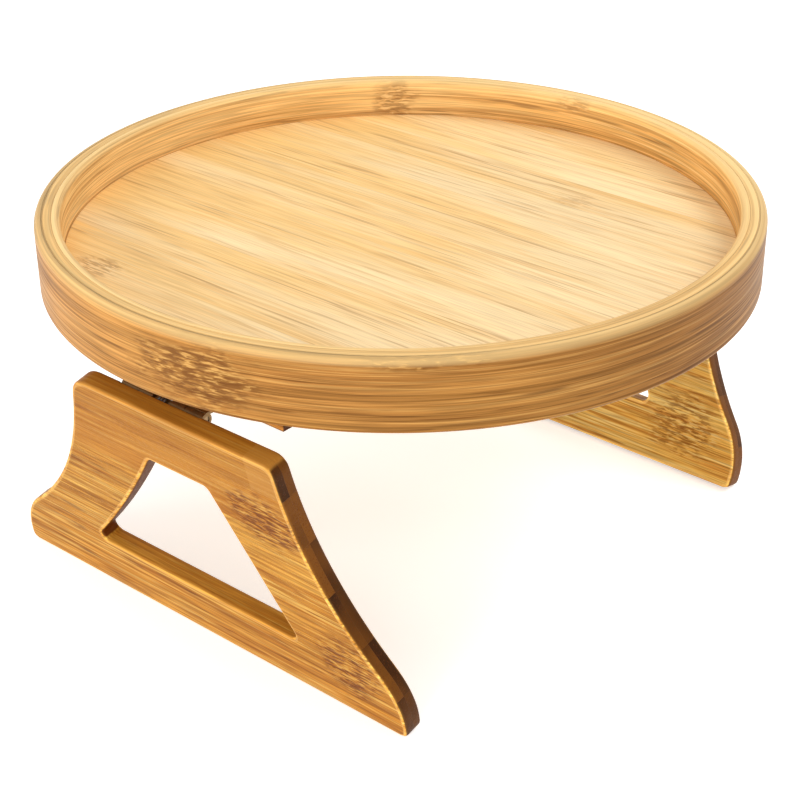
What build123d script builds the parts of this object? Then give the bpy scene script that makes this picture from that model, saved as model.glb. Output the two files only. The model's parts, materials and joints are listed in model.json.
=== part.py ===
from build123d import *
from math import acos, atan2, ceil, cos, pi, radians, sin, tau
import os

# Sofa arm tray: a round bamboo tray on two hinged side leaves that hang over the sofa arm.
# Millimetres. The origin lies on the floor below the middle of the tray. X runs along the
# hinge lines, to the right as seen from the near leaf, and Y from the near leaf to the far one.

# Tray
tray_radius = 150.0
rim_height = 29.4
hoop_thickness = 3.5
glue_line = 0.05
board_thickness = 10.0
board_recess = 2.5
easing_outside = 2.4
easing_inside = 1.8
bevel_below = 1.4

# Battens under the board
batten_length = 106.0
batten_width = 22.0
batten_height = 12.5
batten_corner_clearance = 1.3
batten_bevel = 1.0
batten_screw_inset = 15.5
batten_screw_spacing = 84.0

# Leaves, with every height measured down from the top edge
leaf_height = 121.6
leaf_thickness = 9.0
leaf_top_left = 41.8
leaf_top_right = 65.7
flare_height = 92.0
flare_left = 102.2
flare_right = 97.2
flare_hollow_left = 9.0
flare_hollow_right = 7.7
foot_left = 116.2
foot_right = 103.4
foot_corner = 3.5
shoulder_left = 11.0
shoulder_right = 5.5
edge_bevel = 0.9
window_top = 27.6
window_bottom = 95.0
window_top_left = 7.4
window_top_right = 24.3
window_foot_left = 63.1
window_foot_right = 54.2
window_hollow = 1.8
window_corner = 3.0
leaf_above_pin = 3.3
rest_lean = 13.4

# Hinges
hinge_width = 44.0
hinge_overhang = 8.7
plate_thickness = 1.2
plate_reach = 19.0
plate_corner = 2.5
pin_radius = 1.45
pin_clearance = 0.05
pin_recess = 0.3
knuckle_gap = 0.2
swing_knuckle = 7.4
spring_bay = 9.6
spring_bay_reach = 7.0
notch_clearance = 0.5
seat_clearance = 0.3
recess_clearance = 0.2

# Torsion springs
wire_radius = 0.45
wire_sides = 6
coil_radius = 2.3
coil_pitch = 1.45
full_turns = 2
arm_tip_reach = 13.0
arm_tip_lift = 1.55
groove_clearance = 0.3

# Screws
screw_radius = 1.4
screw_head_radius = 2.6
screw_head_rim = 0.15
screw_sides = 12
plate_screw_length = 6.4
batten_screw_length = 19.0
screw_clearance = 0.05
hole_spare = 0.4
plate_screw_spacing = 28.0
plate_screw_reach = 13.0

# Sizes and places that follow from the ones above
knuckle_radius = pin_radius + pin_clearance + plate_thickness
seat_height = knuckle_radius + seat_clearance
plate_face = seat_height - plate_thickness
screw_hole_radius = screw_radius + screw_clearance
screw_sink_radius = screw_head_radius + screw_clearance
leaf_below_pin = leaf_height - leaf_above_pin
lean_cosine = cos(radians(rest_lean))
lean_sine = sin(radians(rest_lean))
foot_out = plate_face + leaf_thickness
pin_height = lean_cosine * leaf_below_pin + lean_sine * (foot_out - edge_bevel)
batten_bottom = pin_height + plate_face
board_bottom = batten_bottom + batten_height
tray_bottom = board_bottom - board_recess
board_top = board_bottom + board_thickness
rim_top = tray_bottom + rim_height
outer_inside = tray_radius - hoop_thickness
middle_outside = outer_inside - glue_line
middle_inside = middle_outside - hoop_thickness
inner_outside = middle_inside - glue_line
inner_inside = inner_outside - hoop_thickness
batten_corner_radius = inner_inside - batten_corner_clearance
batten_out = (batten_corner_radius**2 - (batten_length / 2) ** 2) ** 0.5
batten_screw_out = batten_out - batten_screw_inset
pin_out = batten_out + hinge_overhang

# Each hinge frame has X along the pin, Y along the plate and Z into the wood behind the plate
batten_frame = Plane(origin=(0, pin_out, pin_height), x_dir=(-1, 0, 0), z_dir=(0, 0, 1))
leaf_frame = Plane(
    origin=(0, pin_out, pin_height), x_dir=(1, 0, 0), z_dir=(0, lean_cosine, -lean_sine)
)


def across(frame, distance):
    """A plane square to the pin, looking along it."""
    start = frame.from_local_coords(Vector(distance, 0, 0))
    return Plane(origin=start, x_dir=frame.y_dir, z_dir=frame.x_dir)


def facing_out(frame, x, y, height):
    """A place on the wood or the plate that faces away from the wood."""
    start = frame.from_local_coords(Vector(x, y, height))
    return Plane(origin=start, x_dir=frame.x_dir, z_dir=-frame.z_dir)


def plate_screw_places(frame, height):
    return [
        facing_out(frame, x, plate_screw_reach, height)
        for x in (-plate_screw_spacing / 2, plate_screw_spacing / 2)
    ]


def batten_screw_places(height):
    return [
        Plane(origin=(x, batten_screw_out, height), x_dir=(1, 0, 0), z_dir=(0, 0, -1))
        for x in (-batten_screw_spacing / 2, batten_screw_spacing / 2)
    ]


def save(part, name):
    part.label = name
    export_step(part, f"parts/{name}.step")


def save_pair(part, name):
    """The far piece as modelled, and the near one as its mirror image."""
    save(part, f"far_{name}")
    with BuildPart() as near_part:
        mirror(part, about=Plane.XZ)
    save(near_part.part, f"near_{name}")


os.makedirs("parts", exist_ok=True)

# Board: a disc inside the hoops, with pilot holes for the batten screws
with BuildPart() as base_board:
    with BuildSketch(Plane.XY.offset(board_bottom)):
        Circle(inner_inside - glue_line)
    extrude(amount=board_thickness)
    with Locations(*batten_screw_places(board_bottom)):
        Hole(
            screw_hole_radius,
            depth=batten_screw_length + hole_spare - batten_height,
        )
    mirror(base_board.part, about=Plane.XZ, mode=Mode.INTERSECT)
save(base_board.part, "base_board")


# Hoops: three bent strips round one another, turned from their sections
def eased_edge(radius, easing, outward):
    """Two flats where a hoop's side meets its top, as three points from the top to the side."""
    flat = easing * (1 - cos(pi / 4))
    return [
        (radius - outward * easing, rim_top),
        (radius - outward * flat, rim_top - flat),
        (radius, rim_top - easing),
    ]


with BuildPart() as outer_hoop:
    with BuildSketch(Plane.XZ):
        with BuildLine():
            Polyline(
                (outer_inside, tray_bottom),
                (outer_inside, rim_top),
                *eased_edge(tray_radius, easing_outside, 1),
                (tray_radius, tray_bottom + bevel_below),
                (tray_radius - bevel_below, tray_bottom),
                close=True,
            )
        make_face()
    revolve(axis=Axis.Z)
save(outer_hoop.part, "outer_hoop")

with BuildPart() as middle_hoop:
    with BuildSketch(Plane.XY.offset(tray_bottom)):
        Circle(middle_outside)
        Circle(middle_inside, mode=Mode.SUBTRACT)
    extrude(amount=rim_height)
save(middle_hoop.part, "middle_hoop")

with BuildPart() as inner_hoop:
    with BuildSketch(Plane.XZ):
        with BuildLine():
            Polyline(
                (inner_outside, tray_bottom),
                (inner_outside, rim_top),
                *eased_edge(inner_inside, easing_inside, -1),
                (inner_inside, tray_bottom),
                close=True,
            )
        make_face()
    revolve(axis=Axis.Z)
save(inner_hoop.part, "inner_hoop")

# Spring arms, which lie behind the hinge plates in grooves
coil_turn = tau * full_turns
arm_tip_height = seat_height + arm_tip_lift
arm_tip_distance = Vector(arm_tip_reach, arm_tip_height).length
arm_angle = atan2(arm_tip_height, arm_tip_reach) + acos(coil_radius / arm_tip_distance)
arm_length = (arm_tip_distance**2 - coil_radius**2) ** 0.5
swing_arm_angle = arm_angle - pi / 2 - radians(rest_lean)
fixed_arm_angle = pi - arm_angle + coil_turn
coil_slope = coil_pitch / (tau * coil_radius)
coil_length = coil_pitch * (fixed_arm_angle - swing_arm_angle) / tau
arm_drift = arm_length * coil_slope
groove_width = 2 * wire_radius + arm_drift + 2 * groove_clearance
groove_offset = coil_length / 2 + arm_drift / 2
groove_length = arm_tip_reach + groove_clearance
groove_depth = arm_tip_lift + wire_radius + groove_clearance


# Hinge seats: what a hinge takes out of the wood, so that its plate lies flush with the face
def hinge_seat(frame, start):
    """A recess from the given start along the plate, the spring groove and the pilot holes."""
    width = hinge_width + 2 * recess_clearance
    reach = plate_reach + recess_clearance
    with BuildPart() as seat:
        with BuildSketch(frame.offset(plate_face)):
            with Locations((0, (start + reach) / 2)):
                Rectangle(width, reach - start)
            fillet(vertices().group_by(Axis.Y)[-1], plate_corner)
        extrude(amount=plate_thickness)
        with BuildSketch(frame.offset(seat_height)):
            with Locations((-groove_offset, groove_length / 2)):
                Rectangle(groove_width, groove_length)
        extrude(amount=groove_depth)
        with BuildSketch(frame.offset(seat_height)):
            with GridLocations(plate_screw_spacing, 0, 2, 1):
                with Locations((0, plate_screw_reach)):
                    Circle(screw_hole_radius)
        extrude(amount=plate_screw_length + hole_spare - plate_thickness)
    return seat.part


# Battens: bars screwed under the board that carry the hinges
with BuildPart() as batten:
    with BuildSketch(Plane.XY.offset(batten_bottom)):
        with Locations((0, batten_out - batten_width / 2)):
            Rectangle(batten_length, batten_width)
    extrude(amount=batten_height)
    chamfer(batten.faces().sort_by(Axis.Z)[0].edges(), batten_bevel)
    with Locations(*batten_screw_places(batten_bottom)):
        CounterSinkHole(screw_hole_radius, screw_sink_radius, depth=batten_height)
    add(hinge_seat(batten_frame, 0), mode=Mode.SUBTRACT)
save_pair(batten.part, "batten")

# Leaves: flared boards with a window, drawn with Y down the leaf from the pin
leaf_top = -leaf_above_pin
leaf_foot = leaf_below_pin
flare_end = flare_height - leaf_above_pin
window_head = window_top - leaf_above_pin
window_sill = window_bottom - leaf_above_pin
with BuildPart() as leaf:
    with BuildSketch(leaf_frame.offset(plate_face)):
        with BuildLine():
            left_flare = SagittaArc(
                (-leaf_top_left, leaf_top), (-flare_left, flare_end), -flare_hollow_left
            )
            left_foot = TangentArc(left_flare @ 1, (-foot_left, leaf_foot), tangent=left_flare % 1)
            right_flare = SagittaArc(
                (leaf_top_right, leaf_top), (flare_right, flare_end), flare_hollow_right
            )
            right_foot = TangentArc(right_flare @ 1, (foot_right, leaf_foot), tangent=right_flare % 1)
            Line(left_foot @ 1, right_foot @ 1)
            Line(right_flare @ 0, left_flare @ 0)
        make_face()
        fillet(vertices().group_by(Axis.Y)[-1], foot_corner)
        fillet(vertices().group_by(Axis.Y)[0].sort_by(Axis.X)[0], shoulder_left)
        fillet(vertices().group_by(Axis.Y)[0].sort_by(Axis.X)[-1], shoulder_right)
        with BuildSketch(leaf_frame.offset(plate_face), mode=Mode.SUBTRACT):
            with BuildLine():
                left_side = SagittaArc(
                    (-window_top_left, window_head), (-window_foot_left, window_sill), -window_hollow
                )
                Line(left_side @ 1, (window_foot_right, window_sill))
                Line((window_foot_right, window_sill), (window_top_right, window_head))
                Line((window_top_right, window_head), left_side @ 0)
            make_face()
            fillet(vertices(), window_corner)
    extrude(amount=leaf_thickness)
    broad_faces = leaf.faces().sort_by(Axis(leaf_frame.origin, leaf_frame.z_dir))
    chamfer(broad_faces[0].edges() + broad_faces[-1].edges(), edge_bevel)
    add(hinge_seat(leaf_frame, leaf_top), mode=Mode.SUBTRACT)
save_pair(leaf.part, "leaf")

# Hinge plates: a flat plate with two curled knuckles, cleared for the other plate's knuckles
swing_knuckle_start = spring_bay / 2
fixed_knuckle_start = swing_knuckle_start + swing_knuckle + knuckle_gap
fixed_knuckle = hinge_width / 2 - fixed_knuckle_start
notch_reach = knuckle_radius + notch_clearance


def hinge_plate(frame, knuckle_start, knuckle_length, notch_start, notch_length):
    with BuildPart() as plate:
        with BuildSketch(frame.offset(plate_face)):
            with Locations((0, plate_reach / 2)):
                Rectangle(hinge_width, plate_reach)
            fillet(vertices().group_by(Axis.Y)[-1], plate_corner)
            with Locations((0, spring_bay_reach / 2)):
                Rectangle(spring_bay, spring_bay_reach, mode=Mode.SUBTRACT)
            for side in (-1, 1):
                with Locations((side * (notch_start + notch_length / 2), notch_reach / 2)):
                    Rectangle(notch_length, notch_reach, mode=Mode.SUBTRACT)
        extrude(amount=plate_thickness)
        for start in (knuckle_start, -knuckle_start - knuckle_length):
            with BuildSketch(across(frame, start)):
                Circle(knuckle_radius)
            extrude(amount=knuckle_length)
        with BuildSketch(across(frame, -hinge_width / 2)):
            Circle(pin_radius + pin_clearance)
        extrude(amount=hinge_width, mode=Mode.SUBTRACT)
        with Locations(*plate_screw_places(frame, plate_face)):
            CounterSinkHole(screw_hole_radius, screw_sink_radius, depth=plate_thickness)
    return plate.part


mate_knuckle = swing_knuckle + knuckle_gap
fixed_plate = hinge_plate(
    batten_frame, fixed_knuckle_start, fixed_knuckle, swing_knuckle_start, mate_knuckle
)
save_pair(fixed_plate, "fixed_plate")
mate_knuckle = fixed_knuckle + knuckle_gap
swing_plate = hinge_plate(
    leaf_frame, swing_knuckle_start, swing_knuckle, hinge_width / 2 - mate_knuckle, mate_knuckle
)
save_pair(swing_plate, "swing_plate")

# Hinge pins: plain rods that end just inside the outer knuckles
with BuildPart() as hinge_pin:
    with BuildSketch(across(leaf_frame, 0)):
        Circle(pin_radius)
    extrude(amount=hinge_width / 2 - pin_recess, both=True)
save_pair(hinge_pin.part, "hinge_pin")


# Torsion springs: a coil round each pin with one arm behind each plate, pulling the leaf in
def coil_point(turn):
    """A point of the coil; the turn is an angle about the pin, from +Y towards +Z."""
    middle = (swing_arm_angle + fixed_arm_angle) / 2
    return Vector(
        coil_pitch * (turn - middle) / tau,
        pin_out + coil_radius * cos(turn),
        pin_height + coil_radius * sin(turn),
    )


def coil_direction(turn):
    return Vector(coil_slope, -sin(turn), cos(turn)).normalized()


def biarc(start, start_direction, end, end_direction):
    """Two arcs that meet smoothly between two points with given directions."""
    gap = end - start
    total = start_direction + end_direction
    bend = 2 * (1 - start_direction.dot(end_direction))
    reach = (-gap.dot(total) + (gap.dot(total) ** 2 + bend * gap.dot(gap)) ** 0.5) / bend
    first_control = start + start_direction * reach
    second_control = end - end_direction * reach
    meeting = (first_control + second_control) / 2
    TangentArc(start, meeting, tangent=start_direction)
    TangentArc(meeting, end, tangent=second_control - first_control)


def least_gap(points, wire_diameter, skip):
    """The least distance between stretches of wire that aren't neighbours along it."""
    return min(
        (second - first).length - wire_diameter
        for index, first in enumerate(points)
        for second in points[index + skip :]
    )


coil_angle = fixed_arm_angle - swing_arm_angle
quarter_turns = ceil(coil_angle / (pi / 2))
turn_step = coil_angle / quarter_turns
with BuildPart() as spring:
    with BuildLine() as spring_path:
        coil_start = coil_point(swing_arm_angle)
        coil_end = coil_point(fixed_arm_angle)
        Line(coil_start - coil_direction(swing_arm_angle) * arm_length, coil_start)
        for step in range(quarter_turns):
            turn = swing_arm_angle + step * turn_step
            next_turn = turn + turn_step
            biarc(coil_point(turn), coil_direction(turn), coil_point(next_turn), coil_direction(next_turn))
        Line(coil_end, coil_end + coil_direction(fixed_arm_angle) * arm_length)
    with BuildSketch(Plane(origin=spring_path.line @ 0, z_dir=spring_path.line % 0)):
        RegularPolygon(wire_radius, wire_sides)
    sweep()
save_pair(spring.part, "spring")

samples_per_turn = 48
sample_count = round(samples_per_turn * coil_angle / tau)
coil_samples = [
    coil_point(swing_arm_angle + coil_angle * index / sample_count) for index in range(sample_count + 1)
]
print("least gap in a spring", least_gap(coil_samples, 2 * wire_radius, samples_per_turn // 2))


# Screws: a countersunk head with a low rim and a shank, along -Z of their place
def screw(length):
    rim_radius = screw_head_radius - screw_head_rim
    cone_height = (rim_radius - screw_radius) * cos(pi / screw_sides)
    with BuildPart() as one_screw:
        with BuildSketch():
            RegularPolygon(rim_radius, screw_sides)
        extrude(amount=-cone_height - screw_head_rim)
        chamfer(one_screw.faces().sort_by(Axis.Z)[0].edges(), cone_height)
        with BuildSketch():
            RegularPolygon(screw_radius, screw_sides)
        extrude(amount=-length)
    return one_screw.part


plate_screw = screw(plate_screw_length)
batten_screw = screw(batten_screw_length)

with BuildPart() as batten_screws:
    with Locations(*batten_screw_places(batten_bottom)):
        add(batten_screw)
    mirror(about=Plane.XZ)
save(batten_screws.part, "batten_screws")

with BuildPart() as fixed_plate_screws:
    with Locations(*plate_screw_places(batten_frame, plate_face)):
        add(plate_screw)
    mirror(about=Plane.XZ)
save(fixed_plate_screws.part, "fixed_plate_screws")

with BuildPart() as swing_plate_screws:
    with Locations(*plate_screw_places(leaf_frame, plate_face)):
        add(plate_screw)
save_pair(swing_plate_screws.part, "swing_plate_screws")
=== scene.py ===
import json
from math import radians

import bmesh
import bpy
import numpy as np
from mathutils import Euler, Matrix, Vector


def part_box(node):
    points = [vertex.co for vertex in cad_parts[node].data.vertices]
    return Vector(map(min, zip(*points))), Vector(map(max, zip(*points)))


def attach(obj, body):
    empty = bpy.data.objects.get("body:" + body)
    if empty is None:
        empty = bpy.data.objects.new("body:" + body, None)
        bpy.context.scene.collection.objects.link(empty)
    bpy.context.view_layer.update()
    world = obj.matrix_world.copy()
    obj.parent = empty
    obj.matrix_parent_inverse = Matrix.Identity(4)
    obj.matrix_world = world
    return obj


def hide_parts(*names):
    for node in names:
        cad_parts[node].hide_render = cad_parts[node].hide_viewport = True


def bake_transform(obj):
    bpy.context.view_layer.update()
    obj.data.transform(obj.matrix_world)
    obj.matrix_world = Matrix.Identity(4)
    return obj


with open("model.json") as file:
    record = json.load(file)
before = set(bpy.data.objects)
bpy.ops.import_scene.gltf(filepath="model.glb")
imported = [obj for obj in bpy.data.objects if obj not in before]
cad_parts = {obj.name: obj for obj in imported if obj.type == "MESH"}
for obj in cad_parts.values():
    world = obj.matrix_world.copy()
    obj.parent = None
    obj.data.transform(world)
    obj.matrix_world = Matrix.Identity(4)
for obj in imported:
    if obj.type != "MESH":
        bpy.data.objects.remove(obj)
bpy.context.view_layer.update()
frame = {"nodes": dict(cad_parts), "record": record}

scene = bpy.context.scene
scene.view_settings.view_transform = "Standard"

# The object in metres, in the frame's own axes: X along the hinge lines, Y from the near leaf to
# the far one, Z up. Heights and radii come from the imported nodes. Colours are written as a screen
# shows them, from 0 to 255.
hoopLow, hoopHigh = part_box("outer_hoop")
boardLow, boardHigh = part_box("base_board")
trayRadius, trayBottom, rimTop = hoopHigh[0], hoopLow[2], hoopHigh[2]
jointPlaces = {joint["name"]: joint["pos_m"] for joint in frame["record"]["behaviour"]["joints"]}
pinOut, pinHeight = jointPlaces["far_leaf_hinge"][1:]
sides = {"near": -1, "far": 1}
turn = 2 * np.pi
white = (1, 1, 1, 1)

# degrees past which an edge stays sharp, and lengths in metres that count as none
finish = {"sharpAngle": 32, "mergeDistance": 1e-7, "straightBelow": 1e-9}


# Mesh tools

def unit(vectors):
    # One vector or rows of them, each made one long.
    return vectors / np.linalg.norm(vectors, axis=-1, keepdims=True)


def rectangle(left, right, low, high):
    return [(left, low), (right, low), (right, high), (left, high)]


def gridFaces(rows, columns, wrapRows=True, wrapColumns=True):
    # Quads between neighbouring points of a rows by columns grid, closed on itself where asked.
    index = np.arange(rows * columns).reshape(rows, columns)
    below = np.roll(index, -1, axis=0)
    corners = np.stack([index, below, np.roll(below, -1, axis=1), np.roll(index, -1, axis=1)], axis=-1)
    lastRow = rows if wrapRows else rows - 1
    lastColumn = columns if wrapColumns else columns - 1
    return corners[:lastRow, :lastColumn].reshape(-1, 4)


def addObject(name, data):
    thing = bpy.data.objects.new(name, data)
    scene.collection.objects.link(thing)
    return thing


def makePiece(name, points, faces):
    mesh = bpy.data.meshes.new(name)
    points = np.asarray(points, float).reshape(-1, 3).tolist()
    mesh.from_pydata(points, [], [list(face) for face in faces])
    work = bmesh.new()
    work.from_mesh(mesh)
    bmesh.ops.remove_doubles(work, verts=work.verts, dist=finish["mergeDistance"])
    bmesh.ops.recalc_face_normals(work, faces=work.faces)
    work.to_mesh(mesh)
    work.free()
    finishMesh(mesh)
    return addObject(name, mesh)


def finishMesh(mesh, sharpAngle=finish["sharpAngle"]):
    mesh.polygons.foreach_set("use_smooth", np.ones(len(mesh.polygons), bool))
    mesh.set_sharp_from_angle(angle=radians(sharpAngle))
    mesh.update()


def prism(name, outline, low, high, place=np.asarray, lowScale=1.0, highScale=1.0):
    # A flat outline (x, y) carried straight from height low to height high, then placed. The
    # scales widen or narrow it at the two heights.
    outline = np.asarray(outline, float)
    count = len(outline)
    below = np.c_[outline * lowScale, np.full(count, low)]
    above = np.c_[outline * highScale, np.full(count, high)]
    faces = [list(range(count)), list(range(count, 2 * count))]
    faces += [[i, (i + 1) % count, count + (i + 1) % count, count + i] for i in range(count)]
    return makePiece(name, place(np.concatenate([below, above])), faces)


def cutAway(piece, cutters):
    # Each cutter is taken out of the piece, and then deleted.
    for cutter in cutters:
        modifier = piece.modifiers.new("cut", "BOOLEAN")
        modifier.object = cutter
        modifier.operation = "DIFFERENCE"
        modifier.solver = "EXACT"
    done = piece.evaluated_get(bpy.context.evaluated_depsgraph_get())
    mesh = bpy.data.meshes.new_from_object(done)
    piece.modifiers.clear()
    piece.data = mesh
    finishMesh(mesh)
    for cutter in cutters:
        bpy.data.objects.remove(cutter)


def lathe(name, section, steps, closed=True):
    # A section (radius, height) turned once round Z: a closed one, or a line from axis to axis.
    angle = np.linspace(0, turn, steps, endpoint=False)[:, None]
    radius, height = np.asarray(section, float).T
    points = np.stack(
        [np.cos(angle) * radius, np.sin(angle) * radius, np.ones_like(angle) * height], axis=-1
    )
    return makePiece(name, points, gridFaces(steps, len(section), True, closed))


def quarterCircle(middle, radius, start, steps):
    # Points on a quarter of a circle, from the start angle in degrees.
    angle = np.radians(start + np.linspace(0, 90, steps))[:, None]
    return np.array(middle) + radius * np.c_[np.cos(angle), np.sin(angle)]


# Node tools

def setInputs(node, inputs):
    # Sockets are linked, and everything else is a constant.
    for key, value in inputs.items():
        if isinstance(value, bpy.types.NodeSocket):
            node.id_data.links.new(value, node.inputs[key])
        else:
            node.inputs[key].default_value = value


def addNode(kind, inputs, tree=None, **settings):
    # A node in the given tree, or else in the one that its linked inputs come from.
    linked = [value for value in inputs.values() if isinstance(value, bpy.types.NodeSocket)]
    node = (tree or linked[0].id_data).nodes.new("ShaderNode" + kind)
    for key, value in settings.items():
        setattr(node, key, value)
    setInputs(node, inputs)
    return node


def calc(operation, *values):
    return addNode("Math", dict(enumerate(values)), operation=operation).outputs[0]


def times(first, second, added=None):
    if added is None:
        return calc("MULTIPLY", first, second)
    return calc("MULTIPLY_ADD", first, second, added)


def vectorCalc(operation, *values):
    node = addNode("VectorMath", dict(enumerate(values)), operation=operation)
    return node.outputs["Value" if operation in ("DOT_PRODUCT", "LENGTH") else "Vector"]


def ramp(value, low, high, start=0.0, end=1.0, kind="SMOOTHSTEP"):
    # The value's way from low to high, as a smooth step from start to end.
    inputs = {0: value, 1: low, 2: high, 3: start, 4: end}
    return addNode("MapRange", inputs, interpolation_type=kind).outputs[0]


def linear(colour):
    # A colour's linear values, by the sRGB standard's formula. A socket is left as it is.
    if isinstance(colour, bpy.types.NodeSocket):
        return colour
    shown = np.array(colour) / 255
    return (*np.where(shown <= 0.04045, shown / 12.92, ((shown + 0.055) / 1.055) ** 2.4), 1.0)


def blendColour(factor, first, second, mode="MIX"):
    inputs = {0: factor, 6: linear(first), 7: linear(second)}
    node = addNode("Mix", inputs, data_type="RGBA", blend_type=mode, clamp_factor=True)
    return node.outputs[2]


def tinted(colour, mask, amount, tint):
    # The colour turned towards the tint, by the given amount where the mask is one.
    return blendColour(times(mask, amount), colour, tint)


def newMaterial(name):
    material = bpy.data.materials.new(name)
    material.use_nodes = True
    return material, material.node_tree, material.node_tree.nodes["Principled BSDF"]


def bumped(height, strength, depth):
    return addNode("Bump", {"Height": height, "Strength": strength, "Distance": depth}).outputs[0]


# Wood grain. Rates are features per metre along the fibres and across them. Steps keep noises,
# strips and plies apart. Masks say where on the noise a mark begins and where it is full, and
# heights how far it stands out.
figure = {
    "plyStep": 17.0,
    "stripStep": 3.7,
    "cloudRates": (6, 34),
    "layers": [
        ("broad", 11.0, {"detail": 2}),
        ("narrow", 23.0, {"detail": 3, "roughness": 0.68}),
        ("fibre", 31.0, {"detail": 1}),
        ("dash", 47.0, {"detail": 1}),
    ],
    "patchAmount": 0.5,
    "knotEdgeRates": (90, 160),
    "knotEdgeNoise": {"detail": 3},
    "knotEdgeSpread": 1.3,
    "fleckRates": (170, 1000),
    "fleckStep": 61.0,
    "fleckNoise": {"distortion": 0.35},
    "glintAmount": 0.55,
    "blockStep": 5.0,
    "blockSpread": 0.6,
    "poreRate": 1300.0,
    "poreAmount": 0.6,
    # how far painted shade darkens a window's end faces
    "windowShadeAmount": 0.92,
    # the least the painted edge highlight falls to along an edge
    "unevenHighlightLeast": 0.45,
    "rough": (0.40, 0.54),
    "coatRough": 0.30,
    "bumpDepth": 0.0003,
}
masks = {
    "cloud": (0.32, 0.68),
    "broad": (0.46, 0.66),
    "narrow": (0.51, 0.60),
    "light": (0.47, 0.38),
    "dash": (0.55, 0.68),
    "dashBand": (0.42, 0.60),
    "fibre": (0.36, 0.66),
    "knotEdge": (1.15, 0.45),
    "fleck": (0.48, 0.57),
    "glint": (0.45, 0.37),
    "edge": (0.55, 0.85),
    "end": (0.55, 0.80),
    "block": (0.45, 1.05),
    "pore": (0.42, 0.12),
    "unevenHighlight": (0.3, 0.6),
    "sheen": (0.3, 0.7),
}
heights = {"narrow": -0.6, "fibre": -0.5, "fleck": -1.2, "seam": -0.9, "pore": -0.5}


# Every space gives the place along the fibres, across them and into the wood, and a vector of the
# first two, in which the noise is drawn out.

def straightSpace(tree, origin, *ways):
    # Distances from an origin along three directions that are square to one another.
    place = addNode("TexCoord", {}, tree).outputs["Object"]
    offset = vectorCalc("SUBTRACT", place, tuple(origin))
    along, across, through = [vectorCalc("DOT_PRODUCT", offset, tuple(way)) for way in ways]
    vector = addNode("CombineXYZ", {0: along, 2: across}).outputs[0]
    return {"vector": vector, "along": along, "across": across, "through": through}


def plainSpace(tree):
    return straightSpace(tree, (0, 0, 0), (1, 0, 0), (0, 1, 0), (0, 0, 1))


def bentSpace(tree, radius):
    # Round the Z axis: along is the arc at the given radius, across the height, through the radius.
    place = addNode("TexCoord", {}, tree).outputs["Object"]
    x, y, z = addNode("SeparateXYZ", {0: place}).outputs
    flat = addNode("CombineXYZ", {0: x, 1: y}).outputs[0]
    through = vectorCalc("LENGTH", flat)
    around = vectorCalc("SCALE", vectorCalc("NORMALIZE", flat))
    setInputs(around.node, {"Scale": radius})
    height = addNode("CombineXYZ", {2: z}).outputs[0]
    along = times(calc("ARCTAN2", y, x), radius)
    vector = vectorCalc("ADD", around, height)
    return {"vector": vector, "along": along, "across": z, "through": through}


def drawnNoise(space, alongRate, acrossRate, seed, detail=2.0, roughness=0.5, distortion=0.0):
    # Noise drawn out along the fibres.
    stretched = vectorCalc("MULTIPLY", space["vector"], (alongRate, alongRate, acrossRate))
    depth = times(space["through"], acrossRate, seed)
    inputs = {
        "Vector": stretched, "W": depth, "Scale": 1.0, "Detail": detail,
        "Roughness": roughness, "Distortion": distortion,
    }
    return addNode("TexNoise", inputs, noise_dimensions="4D").outputs[0]


def randomOf(index, seed):
    # A steady random number from 0 to 1 for each whole index.
    moved = calc("ADD", index, seed)
    return addNode("TexWhiteNoise", {"W": moved}, noise_dimensions="1D").outputs["Value"]


def maskOf(mark, value, start=0.0, end=1.0):
    return ramp(value, *masks[mark], start, end)


def counted(distance, start, width):
    # How many widths a distance lies past the start.
    return calc("DIVIDE", calc("SUBTRACT", distance, start), width)


def knotMask(space, knots, seed):
    # One where a bamboo node crosses the strip: an oval about each place, with a ragged edge.
    ragged = drawnNoise(space, *figure["knotEdgeRates"], seed, **figure["knotEdgeNoise"])
    spread = figure["knotEdgeSpread"]
    total = 0.0
    for along, across, halfLong, halfWide, strength in knots:
        lengthways = counted(space["along"], along, halfLong)
        sideways = counted(space["across"], across, halfWide)
        squares = [calc("POWER", calc("ABSOLUTE", way), 2.0) for way in (lengthways, sideways)]
        distance = calc("SQRT", calc("ADD", *squares))
        uneven = times(ragged, spread, calc("SUBTRACT", distance, spread / 2))
        total = calc("MAXIMUM", maskOf("knotEdge", uneven, 0.0, strength), total)
    return total


def addKnots(space, look, colour, height):
    # The fibres break into short wavy flecks: dark ones, and light ones that are painted glints.
    knot = knotMask(space, look["knots"], look["seed"])
    step = look["seed"] + figure["fleckStep"]
    flecks = drawnNoise(space, *figure["fleckRates"], step, **figure["fleckNoise"])
    fleckMask = times(maskOf("fleck", flecks), knot)
    glints = times(maskOf("glint", flecks), knot)
    colour = tinted(colour, knot, look["knotShade"], look["streak"])
    # painted glints of light on the knot
    colour = tinted(colour, glints, figure["glintAmount"], look["light"])
    colour = tinted(colour, fleckMask, look["fleckAmount"], look["dark"])
    return colour, times(fleckMask, heights["fleck"], height)


def addSeams(strips, plies, look, colour, height):
    # Glue seams, each a seam's width to either side of where two strips or two plies meet.
    seams = 0.0
    for count, width in (strips, look["stripWidth"]), (plies, look["plyWidth"]):
        away = times(calc("PINGPONG", count, 0.5), width)
        seams = calc("MAXIMUM", ramp(away, look["seam"], 0.0), seams)
    colour = tinted(colour, seams, look["seamAmount"], look["dark"])
    return colour, times(seams, heights["seam"], height)


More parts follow.
